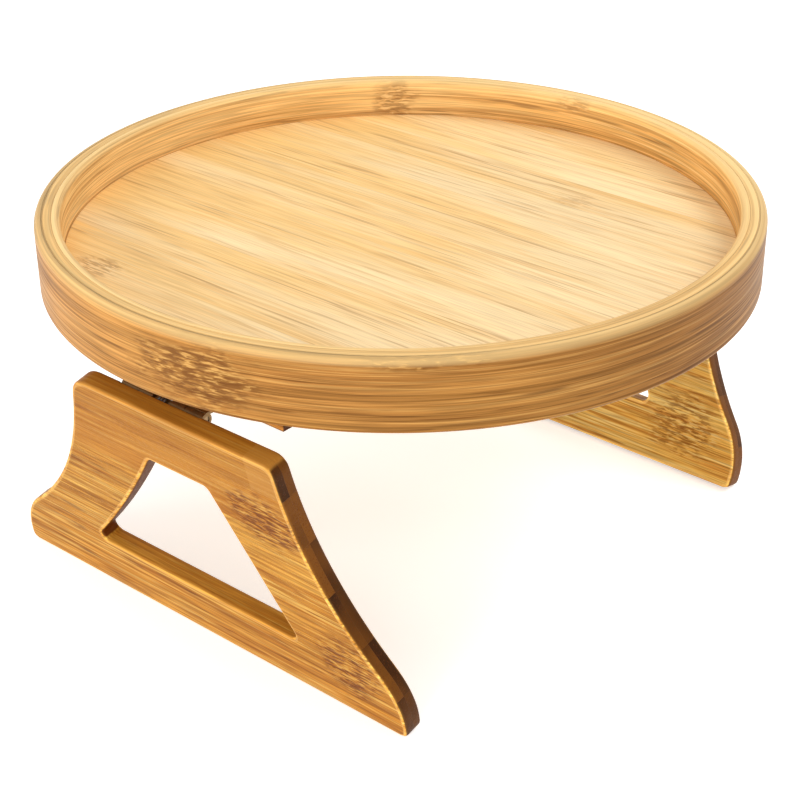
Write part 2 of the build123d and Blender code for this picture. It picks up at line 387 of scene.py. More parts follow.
def addCutSides(tree, space, blockTone, look, colour, height):
    # Edges cut along the fibres are browner, and ends cut across them dark and full of pores; that darkness
    # is partly the end grain's own colour and partly painted shade.
    # The ends round a window are the darkest: painted shade, marked on their vertices.
    normal = addNode("TexCoord", {}, tree).outputs["Normal"]
    edgeFacing, endFacing = [
        calc("ABSOLUTE", vectorCalc("DOT_PRODUCT", normal, way))
        for way in (look["acrossWay"], (1.0, 0.0, 0.0))
    ]
    endMask = maskOf("end", endFacing)
    colour = tinted(colour, maskOf("edge", edgeFacing), look["edgeAmount"], look["edgeDark"])
    place = addNode("CombineXYZ", {0: space["across"], 1: space["through"]}).outputs[0]
    pores = addNode("TexVoronoi", {"Vector": place, "Scale": figure["poreRate"]})
    poreMask = maskOf("pore", pores.outputs["Distance"])
    endColour = blendColour(maskOf("block", blockTone), look["endDark"], look["endPale"])
    endColour = tinted(endColour, poreMask, figure["poreAmount"], look["dark"])
    colour = blendColour(endMask, colour, endColour)
    # painted shade on the window's end faces
    windowShade = addNode("Attribute", {}, tree, attribute_name="windowShade").outputs["Fac"]
    colour = tinted(colour, times(windowShade, endMask), figure["windowShadeAmount"], look["dark"])
    return colour, times(times(poreMask, endMask), heights["pore"], height)


def bambooWood(name, space, look):
    # Lengthways streaks and fibres on glued strips, with knots, seams, end grain and varnish, and painted
    # light and shade: glints on knots, highlights on rounded edges, and shade on end grain and round
    # windows.
    material, tree, shader = newMaterial(name)
    space = space(tree)
    seed = look["seed"]

    # strips side by side, each with its own tone, and plies on top of one another
    strips = counted(space["across"], look["stripStart"], look["stripWidth"])
    plies = counted(space["through"], look["plyStart"], look["plyWidth"])
    stripIndex, plyIndex = calc("FLOOR", strips), calc("FLOOR", plies)
    blockIndex = times(plyIndex, figure["plyStep"], stripIndex)
    perBlock = times(blockIndex, figure["stripStep"], seed)

    # slow clouds, broad bands, narrow lines, single fibres and short dashes
    cloud = drawnNoise(space, *figure["cloudRates"], perBlock)
    broad, narrow, fibre, dash = [
        drawnNoise(space, *look[kind + "Rates"], calc("ADD", perBlock, step), **settings)
        for kind, step, settings in figure["layers"]
    ]
    # the tone drifts steadily along the fade's direction; on the rim this is painted shade
    cloud = calc("ADD", cloud, vectorCalc("DOT_PRODUCT", space["vector"], look["fade"]))
    colour = blendColour(maskOf("cloud", cloud), look["pale"], look["deep"])
    contrast = look["stripContrast"]
    tone = ramp(randomOf(blockIndex, seed), 0.0, 1.0, 1 - contrast, 1 + contrast / 2, "LINEAR")
    colour = blendColour(1.0, colour, tone, "MULTIPLY")
    streaks = ("broad", broad, "streak"), ("narrow", narrow, "streak"), ("light", narrow, "light")
    for mark, noise, tint in streaks:
        colour = blendColour(maskOf(mark, noise, 0.0, look[mark + "Amount"]), colour, look[tint])
    dashes = times(maskOf("dash", dash), maskOf("dashBand", broad))
    colour = tinted(colour, dashes, look["dashAmount"], look["dark"])
    amount = look["fibreAmount"]
    fibreShade = maskOf("fibre", fibre, 1 + amount / 2, 1 - amount)
    colour = blendColour(1.0, colour, fibreShade, "MULTIPLY")
    height = times(narrow, heights["narrow"], times(fibre, heights["fibre"]))

    # lengths of strip with a tone of their own, each from its start onwards
    for start, low, high, tint in look.get("patches", ()):
        inside = calc("GREATER_THAN", space["along"], start)
        for operation, limit in ("GREATER_THAN", low), ("LESS_THAN", high):
            inside = times(inside, calc(operation, space["across"], limit))
        colour = tinted(colour, inside, figure["patchAmount"], tint)

    if look.get("knots"):
        colour, height = addKnots(space, look, colour, height)
    colour, height = addSeams(strips, plies, look, colour, height)
    if "endDark" in look:
        random = randomOf(blockIndex, seed + figure["blockStep"])
        blockTone = times(random, figure["blockSpread"], cloud)
        colour, height = addCutSides(tree, space, blockTone, look, colour, height)

    # painted highlight: rounded edges a little paler than the faces, unevenly along them
    if look.get("edgeHighlightPale"):
        edgeHighlight = addNode("Attribute", {}, tree, attribute_name="edgeHighlight").outputs["Fac"]
        unevenHighlight = times(edgeHighlight, maskOf("unevenHighlight", broad, 1.0, figure["unevenHighlightLeast"]))
        colour = tinted(colour, unevenHighlight, look["edgeHighlightAmount"], look["edgeHighlightPale"])

    setInputs(shader, {
        "Base Color": colour,
        "Roughness": maskOf("sheen", narrow, *figure["rough"]),
        "Normal": bumped(height, look["bump"], figure["bumpDepth"]),
        "Coat Weight": look["coat"],
        "Coat Roughness": figure["coatRough"],
        "Specular IOR Level": look["specular"],
        "Specular Tint": look["varnish"],
    })
    return material


def dress(piece, material, body, slotName, *nodes):
    piece.data.materials.clear()
    piece.data.materials.append(material)
    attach(piece, body)
    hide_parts(*nodes)


def markVertices(piece, name, amounts):
    # A number from 0 to 1 for each vertex: a painted highlight on rounded edges, painted shade round a
    # window.
    attribute = piece.data.attributes.new(name, "FLOAT", "POINT")
    attribute.data.foreach_set("value", np.asarray(amounts, np.float32))


# Base board
board = {
    "easing": 0.00035,
    "easingSteps": 4,
    "steps": 360,
    "topRings": 12,
    "bottomRing": 0.6,
    "wood": {
        "seed": 3.0,
        "pale": (255, 224, 170),
        "deep": (252, 206, 132),
        "fade": (-1.1, 0.0, 0.0),
        "streak": (216, 160, 88),
        "light": (255, 228, 176),
        "dark": (150, 100, 46),
        "stripWidth": 0.021,
        "stripStart": 0.004,
        "stripContrast": 0.05,
        "plyWidth": 0.005,
        "plyStart": 0.0,
        "seam": 0.00012,
        "seamAmount": 0.25,
        "broadRates": (7, 150),
        "broadAmount": 0.15,
        "narrowRates": (12, 520),
        "narrowAmount": 0.26,
        "lightAmount": 0.20,
        "fibreRates": (40, 1500),
        "fibreAmount": 0.10,
        "dashRates": (22, 800),
        "dashAmount": 0.45,
        "knotShade": 0.15,
        "varnish": (1.0, 0.86, 0.62, 1.0),
        "knots": [(-0.0705, -0.104, 0.014, 0.009, 0.9), (0.0376, 0.0723, 0.010, 0.008, 0.5)],
        "fleckAmount": 0.55,
        "bump": 0.25,
        "coat": 0.06,
        "specular": 0.25,
    },
}


def makeBoard():
    # A disc: its section runs from the axis out along the bottom and back along the top.
    radius, low, high = boardHigh[0], boardLow[2], boardHigh[2]
    edge = board["easing"]
    bottom = [(0, low), (radius * board["bottomRing"], low), (radius, low)]
    upper = quarterCircle((radius - edge, high - edge), edge, 0, board["easingSteps"])
    inward = np.linspace(radius - 2 * edge, 0, board["topRings"])
    top = np.c_[inward, np.full(len(inward), high)]
    piece = lathe("boardPanel", [*bottom, *upper, *top], board["steps"], closed=False)
    dress(piece, bambooWood("boardBamboo", plainSpace, board["wood"]), "tray", "board_bamboo", "base_board")


makeBoard()
print("board made")

# Rim: three bent strips round one another
rim = {
    "thickness": 0.0035,
    "glueLine": 0.00005,
    "outsideRounding": 0.0027,
    "insideRounding": 0.0020,
    "lowerRounding": 0.0016,
    "seamRounding": 0.00014,
    "roundingSteps": 7,
    "hold": 0.0004,
    "steps": 540,
    # how far below the top edge its painted highlight is full, and where it is gone
    "paleFull": 0.0008,
    "paleGone": 0.0030,
    "seedRate": 1000,
    "wood": {
        "seed": 8.0,
        "dark": (88, 44, 10),
        # painted shade: the rim's tone deepens steadily towards +X and +Y
        "fade": (0.9, 0.78, 0.0),
        "stripWidth": 0.3,
        "stripStart": 0.0,
        "stripContrast": 0.03,
        "plyWidth": 0.02,
        "seam": 0.00016,
        "seamAmount": 0.3,
        "broadRates": (3, 260),
        "broadAmount": 0.36,
        "narrowRates": (7, 820),
        "narrowAmount": 0.66,
        "lightAmount": 0.50,
        "fibreRates": (30, 1700),
        "fibreAmount": 0.26,
        "dashRates": (35, 900),
        "dashAmount": 0.55,
        "knotShade": 0.45,
        "varnish": (1.0, 0.80, 0.50, 1.0),
        # painted highlight on the rounded top edge
        "edgeHighlightPale": (255, 218, 150),
        "edgeHighlightAmount": 0.92,
        "bump": 0.35,
        "coat": 0.02,
        "specular": 0.16,
    },
    # what each strip has of its own: tones (the outer one's the brownest, partly its own colour and partly
    # painted shade on the outer wall; the inner one's the palest, partly painted light on the inner wall),
    # where its glue seams lie, and knots (along from +X, height above the foot, half length, half width,
    # strength)
    "own": {
        "outer": {
            "plyStart": 0.1465,
            # a gentler painted shade towards +X and +Y on the outer strip
            "fade": (0.5, 0.43, 0.0),
            # browner tones: partly painted shade on the outer wall
            "pale": (184, 131, 66),
            "deep": (150, 100, 46),
            "streak": (112, 70, 24),
            "light": (208, 160, 90),
            "narrowAmount": 0.54,
            "lightAmount": 0.36,
            "fleckAmount": 0.60,
            "knots": [
                (-0.207, 0.0140, 0.030, 0.015, 1.0),
                (-0.121, 0.0285, 0.026, 0.0035, 0.8),
                (0.120, 0.0150, 0.024, 0.014, 1.0),
            ],
        },
        "middle": {
            "plyStart": 0.14295,
            "plyWidth": 0.0035,
            "pale": (228, 172, 92),
            "deep": (206, 144, 64),
            "streak": (150, 94, 34),
            "light": (248, 204, 128),
        },
        "inner": {
            "plyStart": 0.1429,
            # paler tones: partly painted light on the inner wall
            "pale": (244, 200, 132),
            "deep": (214, 158, 84),
            "streak": (174, 118, 56),
            "light": (252, 216, 152),
            "fleckAmount": 0.55,
            "knots": [(0.3445, 0.0200, 0.013, 0.012, 1.0), (0.2475, 0.0270, 0.010, 0.005, 0.8)],
        },
    },
}


def hoopSection(inner, outer, roundings):
    # A strip's upright section (radius, height), from its inner low corner outwards. Each corner
    # has its own rounding, and each straight a point at the hold from both ends.
    low, high, hold = trayBottom, rimTop, rim["hold"]
    corners = [(inner, low, 180), (outer, low, 270), (outer, high, 0), (inner, high, 90)]
    points = []
    for (x, y, start), rounding in zip(corners, roundings):
        toMiddle = np.array([1 if x == inner else -1, 1 if y == low else -1])
        middle = np.array([x, y]) + toMiddle * rounding
        arc = quarterCircle(middle, rounding, start, rim["roundingSteps"])
        along = np.radians(start)
        before = arc[0] + hold * np.array([np.sin(along), -np.cos(along)])
        after = arc[-1] + hold * np.array([-np.cos(along), -np.sin(along)])
        points += [before, *arc, after]
    return np.array(points)


def makeHoop(name, outer, roundings):
    # A strip bent round: its section turned about Z.
    inner = outer - rim["thickness"]
    wood = {**rim["wood"], **rim["own"][name]}
    wood["knots"] = [(x, trayBottom + z, *rest) for x, z, *rest in wood.get("knots", ())]
    wood["seed"] += outer * rim["seedRate"]
    material = bambooWood(name + "RimBamboo", lambda tree: bentSpace(tree, trayRadius), wood)
    piece = lathe(name + "Strip", hoopSection(inner, outer, roundings), rim["steps"])
    points = np.empty(len(piece.data.vertices) * 3)
    piece.data.vertices.foreach_get("co", points)
    below = rimTop - points.reshape(-1, 3)[:, 2]
    full, gone = rim["paleFull"], rim["paleGone"]
    markVertices(piece, "edgeHighlight", np.clip((gone - below) / (gone - full), 0, 1))
    dress(piece, material, "tray", "rim_bamboo", name + "_hoop")
    return inner - rim["glueLine"]


def makeRim():
    small = rim["seamRounding"]
    nextOuter = makeHoop("outer", trayRadius, (small, rim["lowerRounding"], rim["outsideRounding"], small))
    nextOuter = makeHoop("middle", nextOuter, [small] * 4)
    makeHoop("inner", nextOuter, (small, small, small, rim["insideRounding"]))


makeRim()
print("rim made")

# Leaves, drawn with x along the pin and y down the leaf from the pin. Pairs are for left and right.
leaf = {
    "height": 0.1216,
    "thickness": 0.0090,
    "abovePin": 0.0033,
    "faceAbovePin": 0.0018,
    "lean": 13.4,
    "flareHeight": 0.092,
    "top": (-0.0418, 0.0657),
    "flare": (-0.1022, 0.0972),
    "hollow": (-0.0090, 0.0077),
    "foot": (-0.1162, 0.1034),
    "shoulder": (0.011, 0.0055),
    "footCorner": 0.0035,
    "windowTop": 0.0276,
    "windowBottom": 0.0950,
    "windowHead": (-0.0074, 0.0243),
    "windowFoot": (-0.0631, 0.0542),
    "windowHollow": 0.0018,
    "windowCorner": 0.003,
    "easing": 0.0014,
    # share of the painted edge highlight on the leaf's hidden face
    "hiddenHighlight": 0.3,
    "hold": 0.0005,
    "sideRings": (0.3, 0.5, 0.7),
    "steps": {"side": 90, "flare": 60, "tip": 24, "line": 80, "foot": 120, "corner": 17, "easing": 6},
    "wood": {
        "seed": 21.0,
        "pale": (242, 180, 74),
        "deep": (224, 154, 50),
        "streak": (160, 94, 22),
        "light": (255, 208, 104),
        "dark": (92, 42, 4),
        "fade": (0.0, 0.0, 0.0),
        "stripWidth": 0.0215,
        "stripStart": 0.0125,
        "stripContrast": 0.08,
        "plyWidth": 0.0045,
        "plyStart": 0.0018,
        "seam": 0.00014,
        "seamAmount": 0.5,
        "broadRates": (8, 200),
        "broadAmount": 0.45,
        "narrowRates": (13, 600),
        "narrowAmount": 0.76,
        "lightAmount": 0.75,
        "fibreRates": (40, 1400),
        "fibreAmount": 0.32,
        "dashRates": (60, 950),
        "dashAmount": 0.60,
        "knotShade": 0.30,
        "fleckAmount": 0.85,
        "edgeDark": (140, 84, 22),
        "edgeAmount": 0.70,
        # the end grain's dark tone: partly its own colour, partly painted shade
        "endDark": (50, 22, 4),
        "endPale": (120, 70, 20),
        "varnish": (1.0, 0.78, 0.45, 1.0),
        # painted highlight on the rounded edges
        "edgeHighlightPale": (248, 200, 120),
        "edgeHighlightAmount": 0.48,
        "bump": 0.35,
        "coat": 0.01,
        "specular": 0.14,
    },
    # what each leaf has of its own: knots (along, across, half length, half width, strength),
    # lengths of strip (start, lowest and highest place across, tone), and paler tones on the far one,
    # painted light for a leaf that hangs in the tray's shade
    "own": {
        "near": {
            "knots": [(0.054, 0.027, 0.021, 0.015, 1.0), (0.080, 0.092, 0.018, 0.017, 1.0)],
            "patches": [
                (-0.2, -0.01, 0.0125, (160, 96, 26)),
                (-0.2, 0.0125, 0.034, (186, 116, 34)),
                (0.0515, -0.01, 0.0125, (216, 158, 76)),
            ],
        },
        "far": {
            "knots": [(0.074, 0.096, 0.022, 0.017, 1.0), (-0.050, 0.030, 0.018, 0.014, 0.8)],
            # paler tones: painted light on a leaf in the tray's shade
            "pale": (255, 214, 118),
            "deep": (255, 198, 92),
            "streak": (206, 134, 50),
            "light": (255, 228, 146),
            "knotShade": 0.12,
            "fleckAmount": 0.62,
        },
    },
}


def leafWays(side):
    # The leaf's own directions: along the pin, down the leaf, and out through the wood.
    lean = radians(leaf["lean"])
    down = np.array([0, -np.sin(lean) * side, -np.cos(lean)])
    out = np.array([0, np.cos(lean) * side, -np.sin(lean)])
    return np.array([1.0, 0, 0]), down, out


def leafPlace(side):
    # Moves points drawn on the leaf to where it hangs from its pin.
    pin = np.array([0, side * pinOut, pinHeight])
    return lambda points: pin + np.asarray(points) @ np.array(leafWays(side))


def bow(start, end, sagitta, steps):
    # A circular arc between two points that stands off its chord by the sagitta in the middle.
    start, end = np.array(start, float), np.array(end, float)
    chord = np.linalg.norm(end - start)
    way = (end - start) / chord
    offWay = np.array([-way[1], way[0]])
    if abs(sagitta) < finish["straightBelow"]:
        return start + np.linspace(0, 1, steps)[:, None] * (end - start)
    half = 2 * np.arctan(2 * abs(sagitta) / chord)
    radius = chord / 2 / np.sin(half)
    angle = np.linspace(-half, half, steps)[:, None]
    off = np.sign(sagitta) * radius * (np.cos(angle) - np.cos(half))
    return start + way * (chord / 2 + radius * np.sin(angle)) + offWay * off


def carriedOn(before, end, steps):
    # A curve and an arc that goes on from it without a corner and ends at a point.
    start, way = before[-1], unit(before[-1] - before[-2])
    chord = np.array(end) - start
    turned = np.arctan2(way[0] * chord[1] - way[1] * chord[0], way @ chord)
    arc = bow(start, end, -np.linalg.norm(chord) / 2 * np.tan(turned / 2), steps)
    return np.concatenate([before, arc[1:]])


def resample(points, steps):
    # Evenly spaced points along a line of points, its first one included and its last one not.
    lengths = np.concatenate([[0], np.cumsum(np.linalg.norm(np.diff(points, axis=0), axis=1))])
    wanted = np.linspace(0, lengths[-1], steps, endpoint=False)
    return np.stack([np.interp(wanted, lengths, column) for column in points.T], axis=-1)


def roundCorner(before, after, radius):
    # Both lines cut back to where a circle of the radius touches them, and the arc between.
    back, forth = unit(before[-2] - before[-1]), unit(after[1] - after[0])
    half = np.arccos(np.clip(back @ forth, -1, 1)) / 2
    reach = radius / np.tan(half)
    corner = before[-1]
    middle = corner + unit(back + forth) * radius / np.sin(half)
    first, last = corner + back * reach - middle, corner + forth * reach - middle
    swing = np.arctan2(first[0] * last[1] - first[1] * last[0], first @ last)
    angle = np.linspace(0, swing, leaf["steps"]["corner"])[:, None]
    arc = middle + np.cos(angle) * first + np.sin(angle) * np.array([-first[1], first[0]])
    kept = before[np.linalg.norm(before - corner, axis=1) > reach]
    rest = after[np.linalg.norm(after - corner, axis=1) > reach]
    return kept, arc, rest


def roundedLoop(lines, radii, steps):
    # Four lines round a loop with a rounded corner at the start of each, each line with its half
    # corners resampled to the same count, so that two such loops match point by point.
    arcs = []
    for index, radius in enumerate(radii):
        kept, arc, rest = roundCorner(lines[index - 1], lines[index], radius)
        lines[index - 1], lines[index] = kept, rest
        arcs.append(arc)
    loop = []
    for index, line in enumerate(lines):
        before, after = arcs[index], arcs[(index + 1) % 4]
        half = len(before) // 2
        loop.append(resample(np.concatenate([before[half:], line, after[: half + 1]]), steps))
    return np.concatenate(loop)


def outward(loop):
    # Unit normals of a closed loop, to the left of the way it runs.
    way = unit(np.roll(loop, -1, axis=0) - np.roll(loop, 1, axis=0))
    return np.stack([-way[:, 1], way[:, 0]], axis=-1)


def leafLoops():
    # The outline and the window, each as four lines that meet in rounded corners.
    top = -leaf["abovePin"]
    foot, flare = leaf["height"] + top, leaf["flareHeight"] + top
    steps = leaf["steps"]
    line, wide = steps["line"], steps["foot"]
    left, right = [
        carriedOn(bow((x, top), (flareX, flare), hollow, steps["flare"]), (footX, foot), steps["tip"])
        for x, flareX, hollow, footX in zip(leaf["top"], leaf["flare"], leaf["hollow"], leaf["foot"])
    ]
    lines = [bow(right[0], left[0], 0, line), left, bow(left[-1], right[-1], 0, wide), right[::-1]]
    radii = [*leaf["shoulder"][::-1], leaf["footCorner"], leaf["footCorner"]]
    outer = roundedLoop(lines, radii, steps["side"])
    head, sill = leaf["windowTop"] + top, leaf["windowBottom"] + top
    (headLeft, headRight), (footLeft, footRight) = leaf["windowHead"], leaf["windowFoot"]
    corners = [(headRight, head), (headLeft, head), (footLeft, sill), (footRight, sill)]
    bows, counts = (0, -leaf["windowHollow"], 0, 0), (line, line, wide, line)
    lines = [bow(corners[i], corners[(i + 1) % 4], bows[i], counts[i]) for i in range(4)]
    window = roundedLoop(lines, [leaf["windowCorner"]] * 4, steps["side"])
    return outer, window


def sectionOffsets():
    # Down one rounded side: how far each point lies inside the outline, and its height.
    easing, thickness = leaf["easing"], leaf["thickness"]
    angle = np.linspace(0, np.pi / 2, leaf["steps"]["easing"])
    inside = np.concatenate([[easing + leaf["hold"]], easing * (1 - np.sin(angle))])
    height = np.concatenate([[0], easing * (1 - np.cos(angle))])
    straight = [share * thickness for share in leaf["sideRings"]]
    inside = np.concatenate([inside, np.zeros(len(straight)), inside[::-1]])
    height = np.concatenate([height, straight, thickness - height[::-1]])
    return inside, height


def makeLeaf(name, side):
    # A closed ring of sections: out along the inner face, down the rounded outer side, back along
    # the outer face and down the window's rounded side.
    outer, window = leafLoops()
    inside, height = sectionOffsets()
    outerSide = outer[:, None] - outward(outer)[:, None] * inside[:, None]
    windowSide = window[:, None] + outward(window)[:, None] * inside[::-1, None]
    flat = np.concatenate([outerSide, windowSide], axis=1)
    levels = np.concatenate([height, height[::-1]]) + leaf["faceAbovePin"]
    grid = np.concatenate([flat, np.broadcast_to(levels[:, None], (*flat.shape[:2], 1))], axis=2)
    piece = makePiece(name + "LeafPanel", leafPlace(side)(grid), gridFaces(*grid.shape[:2]))

    # painted highlight on the rounded edges: full on the face that shows, less on the hidden one
    share = np.where((height > height.mean()) == (side < 0), 1.0, leaf["hiddenHighlight"])
    edgeHighlight = share * np.where(inside <= leaf["easing"], inside / leaf["easing"], 0.0)
    markVertices(piece, "edgeHighlight", np.tile(np.concatenate([edgeHighlight, edgeHighlight[::-1]]), len(grid)))
    # the window's sides, darkened by painted shade where they face along the fibres
    markVertices(piece, "windowShade", np.tile(np.repeat([0, 1], len(inside)), len(grid)))
    cutAway(piece, [hingeRecess(side), springGroove(side)])

    wood = {**leaf["wood"], **leaf["own"][name]}
    wood["acrossWay"] = tuple(leafWays(side)[1])
    wood["seed"] += side
    pin = (0, side * pinOut, pinHeight)
    material = bambooWood(name + "LeafBamboo", lambda tree: straightSpace(tree, pin, *leafWays(side)), wood)
    dress(piece, material, name + "_side", "leaf_bamboo", name + "_leaf")


# Hinges, let into the leaves and the battens
hinge = {
    "width": 0.044,
    "plateReach": 0.019,
    "plateThickness": 0.0012,
    "clearance": 0.0002,
    "corner": 0.0025,
    "cornerSteps": 8,
    "cutterMargin": 0.001,
    "grooveHalf": 0.0009,
    "grooveReach": 0.0133,
    "grooveDepth": 0.0023,
    "grooveOverlap": 0.0002,
}


def hingeRecess(side):
    # A rectangle open past the top edge of the leaf, with its two lower corners rounded.
    half = hinge["width"] / 2 + hinge["clearance"]
    reach = hinge["plateReach"] + hinge["clearance"]
    corner = hinge["corner"]
    right = quarterCircle((half - corner, reach - corner), corner, 0, hinge["cornerSteps"])
    left = right[::-1] * (-1, 1)
    over = leaf["abovePin"] + hinge["cutterMargin"]
    outline = [(half, -over), *right, *left, (-half, -over)]
    start = leaf["faceAbovePin"]
    low, high = start - hinge["cutterMargin"], start + hinge["plateThickness"]
    return prism("recessCutter", outline, low, high, leafPlace(side))


def springGroove(side):
    # A straight slot below the recess, for the spring's arm.
    half, middle = hinge["grooveHalf"], -spring["pitch"] * spring["armPitches"]
    reach = hinge["grooveReach"]
    low = leaf["faceAbovePin"] + hinge["plateThickness"] - hinge["grooveOverlap"]
    outline = rectangle(middle - half, middle + half, 0, reach)
    return prism("grooveCutter", outline, low, low + hinge["grooveDepth"], leafPlace(side))


# Torsion springs
spring = {
    "wireRadius": 0.00045,
    "coilRadius": 0.0023,
    "pitch": 0.00145,
    "turns": 2,
    "armPitches": 1.2,
    "tipReach": 0.013,
    "tipHeight": 0.00455,
    "coilSteps": 150,
    "armSteps": 12,
    "wireSteps": 14,
    "domeAngles": (2, 35, 65),
    "domeHeight": 0.5,
    "sideHint": (1.0, 0.13, 0.07),
}


def springRoute(side):
    # Straight arm, helix about the pin, straight arm: the arms leave the helix along its tangents.
    reach, height, radius = spring["tipReach"], spring["tipHeight"], spring["coilRadius"]
    tip = np.hypot(reach, height)
    armTurn = np.arctan2(height, reach) + np.arccos(radius / tip)
    armLength = np.sqrt(tip**2 - radius**2)
    swingTurn = armTurn - np.pi / 2 - radians(leaf["lean"])
    fixedTurn = np.pi - armTurn + turn * spring["turns"]
    middle = (swingTurn + fixedTurn) / 2
    turns = np.linspace(swingTurn, fixedTurn, spring["coilSteps"])
    x = spring["pitch"] * (turns - middle) / turn
    coil = np.stack([x, radius * np.cos(turns), radius * np.sin(turns)], axis=-1)
    slope = spring["pitch"] / turn / radius
    ways = [unit([slope, -np.sin(at), np.cos(at)]) for at in (swingTurn, fixedTurn)]
    steps = np.linspace(0, armLength, spring["armSteps"])[1:, None]
    route = np.concatenate([coil[0] - ways[0] * steps[::-1], coil, coil[-1] + ways[1] * steps])
    return route * np.array([1, side, 1]) + np.array([0, side * pinOut, pinHeight]), x[-1]


def tube(name, route, radius):
    # A circle carried along the route, square to it, with both ends closed by a low dome. The
    # hint is a way that the route never takes, from which the circle's own directions come.
    around, angles = spring["wireSteps"], np.radians(spring["domeAngles"])
    way = unit(np.gradient(route, axis=0))
    sideways = unit(np.cross(way, spring["sideHint"]))
    upward = np.cross(way, sideways)
    angle = np.linspace(0, turn, around, endpoint=False)[None, :, None]
    dome = np.sin(angles)
    scale = np.concatenate([dome, np.ones(len(route)), dome[::-1]])[:, None, None]
    ahead = np.cos(angles)[:, None] * radius * spring["domeHeight"]
    start, end = route[0] - way[0] * ahead, route[-1] + way[-1] * ahead[::-1]
    centre = np.concatenate([start, route, end])[:, None]
    sideways, upward = [
        np.concatenate([[ways[0]] * len(dome), ways, [ways[-1]] * len(dome)])[:, None]
        for ways in (sideways, upward)
    ]
    points = centre + radius * scale * (np.cos(angle) * sideways + np.sin(angle) * upward)
    faces = gridFaces(len(points), around, False, True).tolist()
    last = (len(points) - 1) * around
    faces += [list(range(around)), list(range(last, last + around))]
    return makePiece(name, points, faces)


def makeSpring(name, side, material):
    route, half = springRoute(side)
    piece = tube(name + "TorsionSpring", route, spring["wireRadius"])
    piece.data.materials.append(material)
    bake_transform(piece)
    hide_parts(name + "_spring")


# Metals: each one's tones, roughness and brushing rates, and the figure that they share
metals = {
    # the hinge plates' and the pins' dark bronze tones are painted shade, for metal that sits in shadow
    # under the tray
    "hinge": {"tint": (132, 104, 70), "dull": (70, 50, 32), "rough": 0.38, "brush": (220, 2600)},
    "pin": {"tint": (150, 124, 92), "dull": (84, 64, 44), "rough": 0.30, "brush": (60, 1800)},
    "spring": {"tint": (112, 108, 106), "dull": (58, 52, 48), "rough": 0.34, "brush": (400, 1800)},
    "screw": {"tint": (142, 114, 78), "dull": (78, 58, 36), "rough": 0.34, "brush": (500, 1500)},
}
plating = {
    "brushNoise": {"seed": 4.0, "detail": 3},
    "brushMask": (0.2, 0.8),
    "brushShade": (0.86, 1.0),
    "roughChange": (-0.08, 0.12),
    "patchRates": (180, 180),
    "patchNoise": {"seed": 9.0, "detail": 4, "roughness": 0.6},
    "patchMask": (0.52, 0.74),
    "patchAmount": 0.55,
    "scratchRates": (90, 5200),
    "scratchNoise": {"seed": 17.0, "detail": 1, "distortion": 0.6},
    "scratchMask": (0.66, 0.74),
    "scratchHeight": -0.6,
    "bump": 0.18,
    "bumpDepth": 0.00008,
}


def metal(name):
    # Drawn or plated steel: fine lengthways brushing, dull patches and small scratches.
    look = metals[name]
    material, tree, shader = newMaterial(name + "Steel")
    space = plainSpace(tree)
    brushed = drawnNoise(space, *look["brush"], **plating["brushNoise"])
    patches = drawnNoise(space, *plating["patchRates"], **plating["patchNoise"])
    scratches = drawnNoise(space, *plating["scratchRates"], **plating["scratchNoise"])
    dull = ramp(patches, *plating["patchMask"], 0.0, plating["patchAmount"])
    colour = blendColour(dull, look["tint"], look["dull"])
    shade = ramp(brushed, *plating["brushMask"], *plating["brushShade"])
    colour = blendColour(1.0, colour, shade, "MULTIPLY")
    rough = ramp(brushed, *plating["brushMask"], *np.add(look["rough"], plating["roughChange"]))
    height = times(ramp(scratches, *plating["scratchMask"]), plating["scratchHeight"], brushed)
    bump = bumped(height, plating["bump"], plating["bumpDepth"])
    setInputs(shader, {"Base Color": colour, "Roughness": rough, "Normal": bump, "Metallic": 1.0})
    return material


# Screws with a countersunk head and a cross recess
screw = {
    "radius": 0.0014,
    "headRadius": 0.00245,
    "rimHeight": 0.00015,
    "rimStart": 0.6,
    "crownSteps": 6,
    "crownReach": 0.94,
    "crownDrop": 0.00006,
    "steps": 40,
    "sharpAngle": 24,
    "crossLong": 0.0014,
    "crossWide": 0.00034,
    "crossDepth": 0.0009,
    "crossAbove": 0.0003,
    "crossFoot": 0.45,
    "crossMouth": 1.1,
    "firstTurn": 0.4,
    "turnStep": 1.9,
    "plateLength": 0.0064,
    "battenLength": 0.019,
    "plateSpacing": 0.028,
    "plateReach": 0.013,
    "battenSpacing": 0.084,
    "battenOut": 0.11202,
}


def screwMesh(length):
    # A turned blank along -Z with a low-crowned head, and a cross-shaped hole sunk into it.
    head, shank, rimHeight = screw["headRadius"], screw["radius"], screw["rimHeight"]
    crown = np.linspace(0, 1, screw["crownSteps"])[:, None]
    section = np.concatenate([
        np.c_[crown * head * screw["crownReach"], -screw["crownDrop"] * crown**2],
        [(head, -rimHeight * screw["rimStart"]), (head, -rimHeight)],
        [(shank, -rimHeight - (head - shank)), (shank, -length + shank), (0, -length)],
    ])
    blank = lathe("screwBlank", section, screw["steps"], closed=False)
    low, high = -screw["crossDepth"], screw["crossAbove"]
    cutters = []
    for x, y in (screw["crossLong"], screw["crossWide"]), (screw["crossWide"], screw["crossLong"]):
        outline = rectangle(-x, x, -y, y)
        cutter = prism(
            "crossCutter", outline, low, high, lowScale=screw["crossFoot"], highScale=screw["crossMouth"]
        )
        cutters.append(cutter)
    cutAway(blank, cutters)
    mesh = blank.data
    bpy.data.objects.remove(blank)
    return mesh


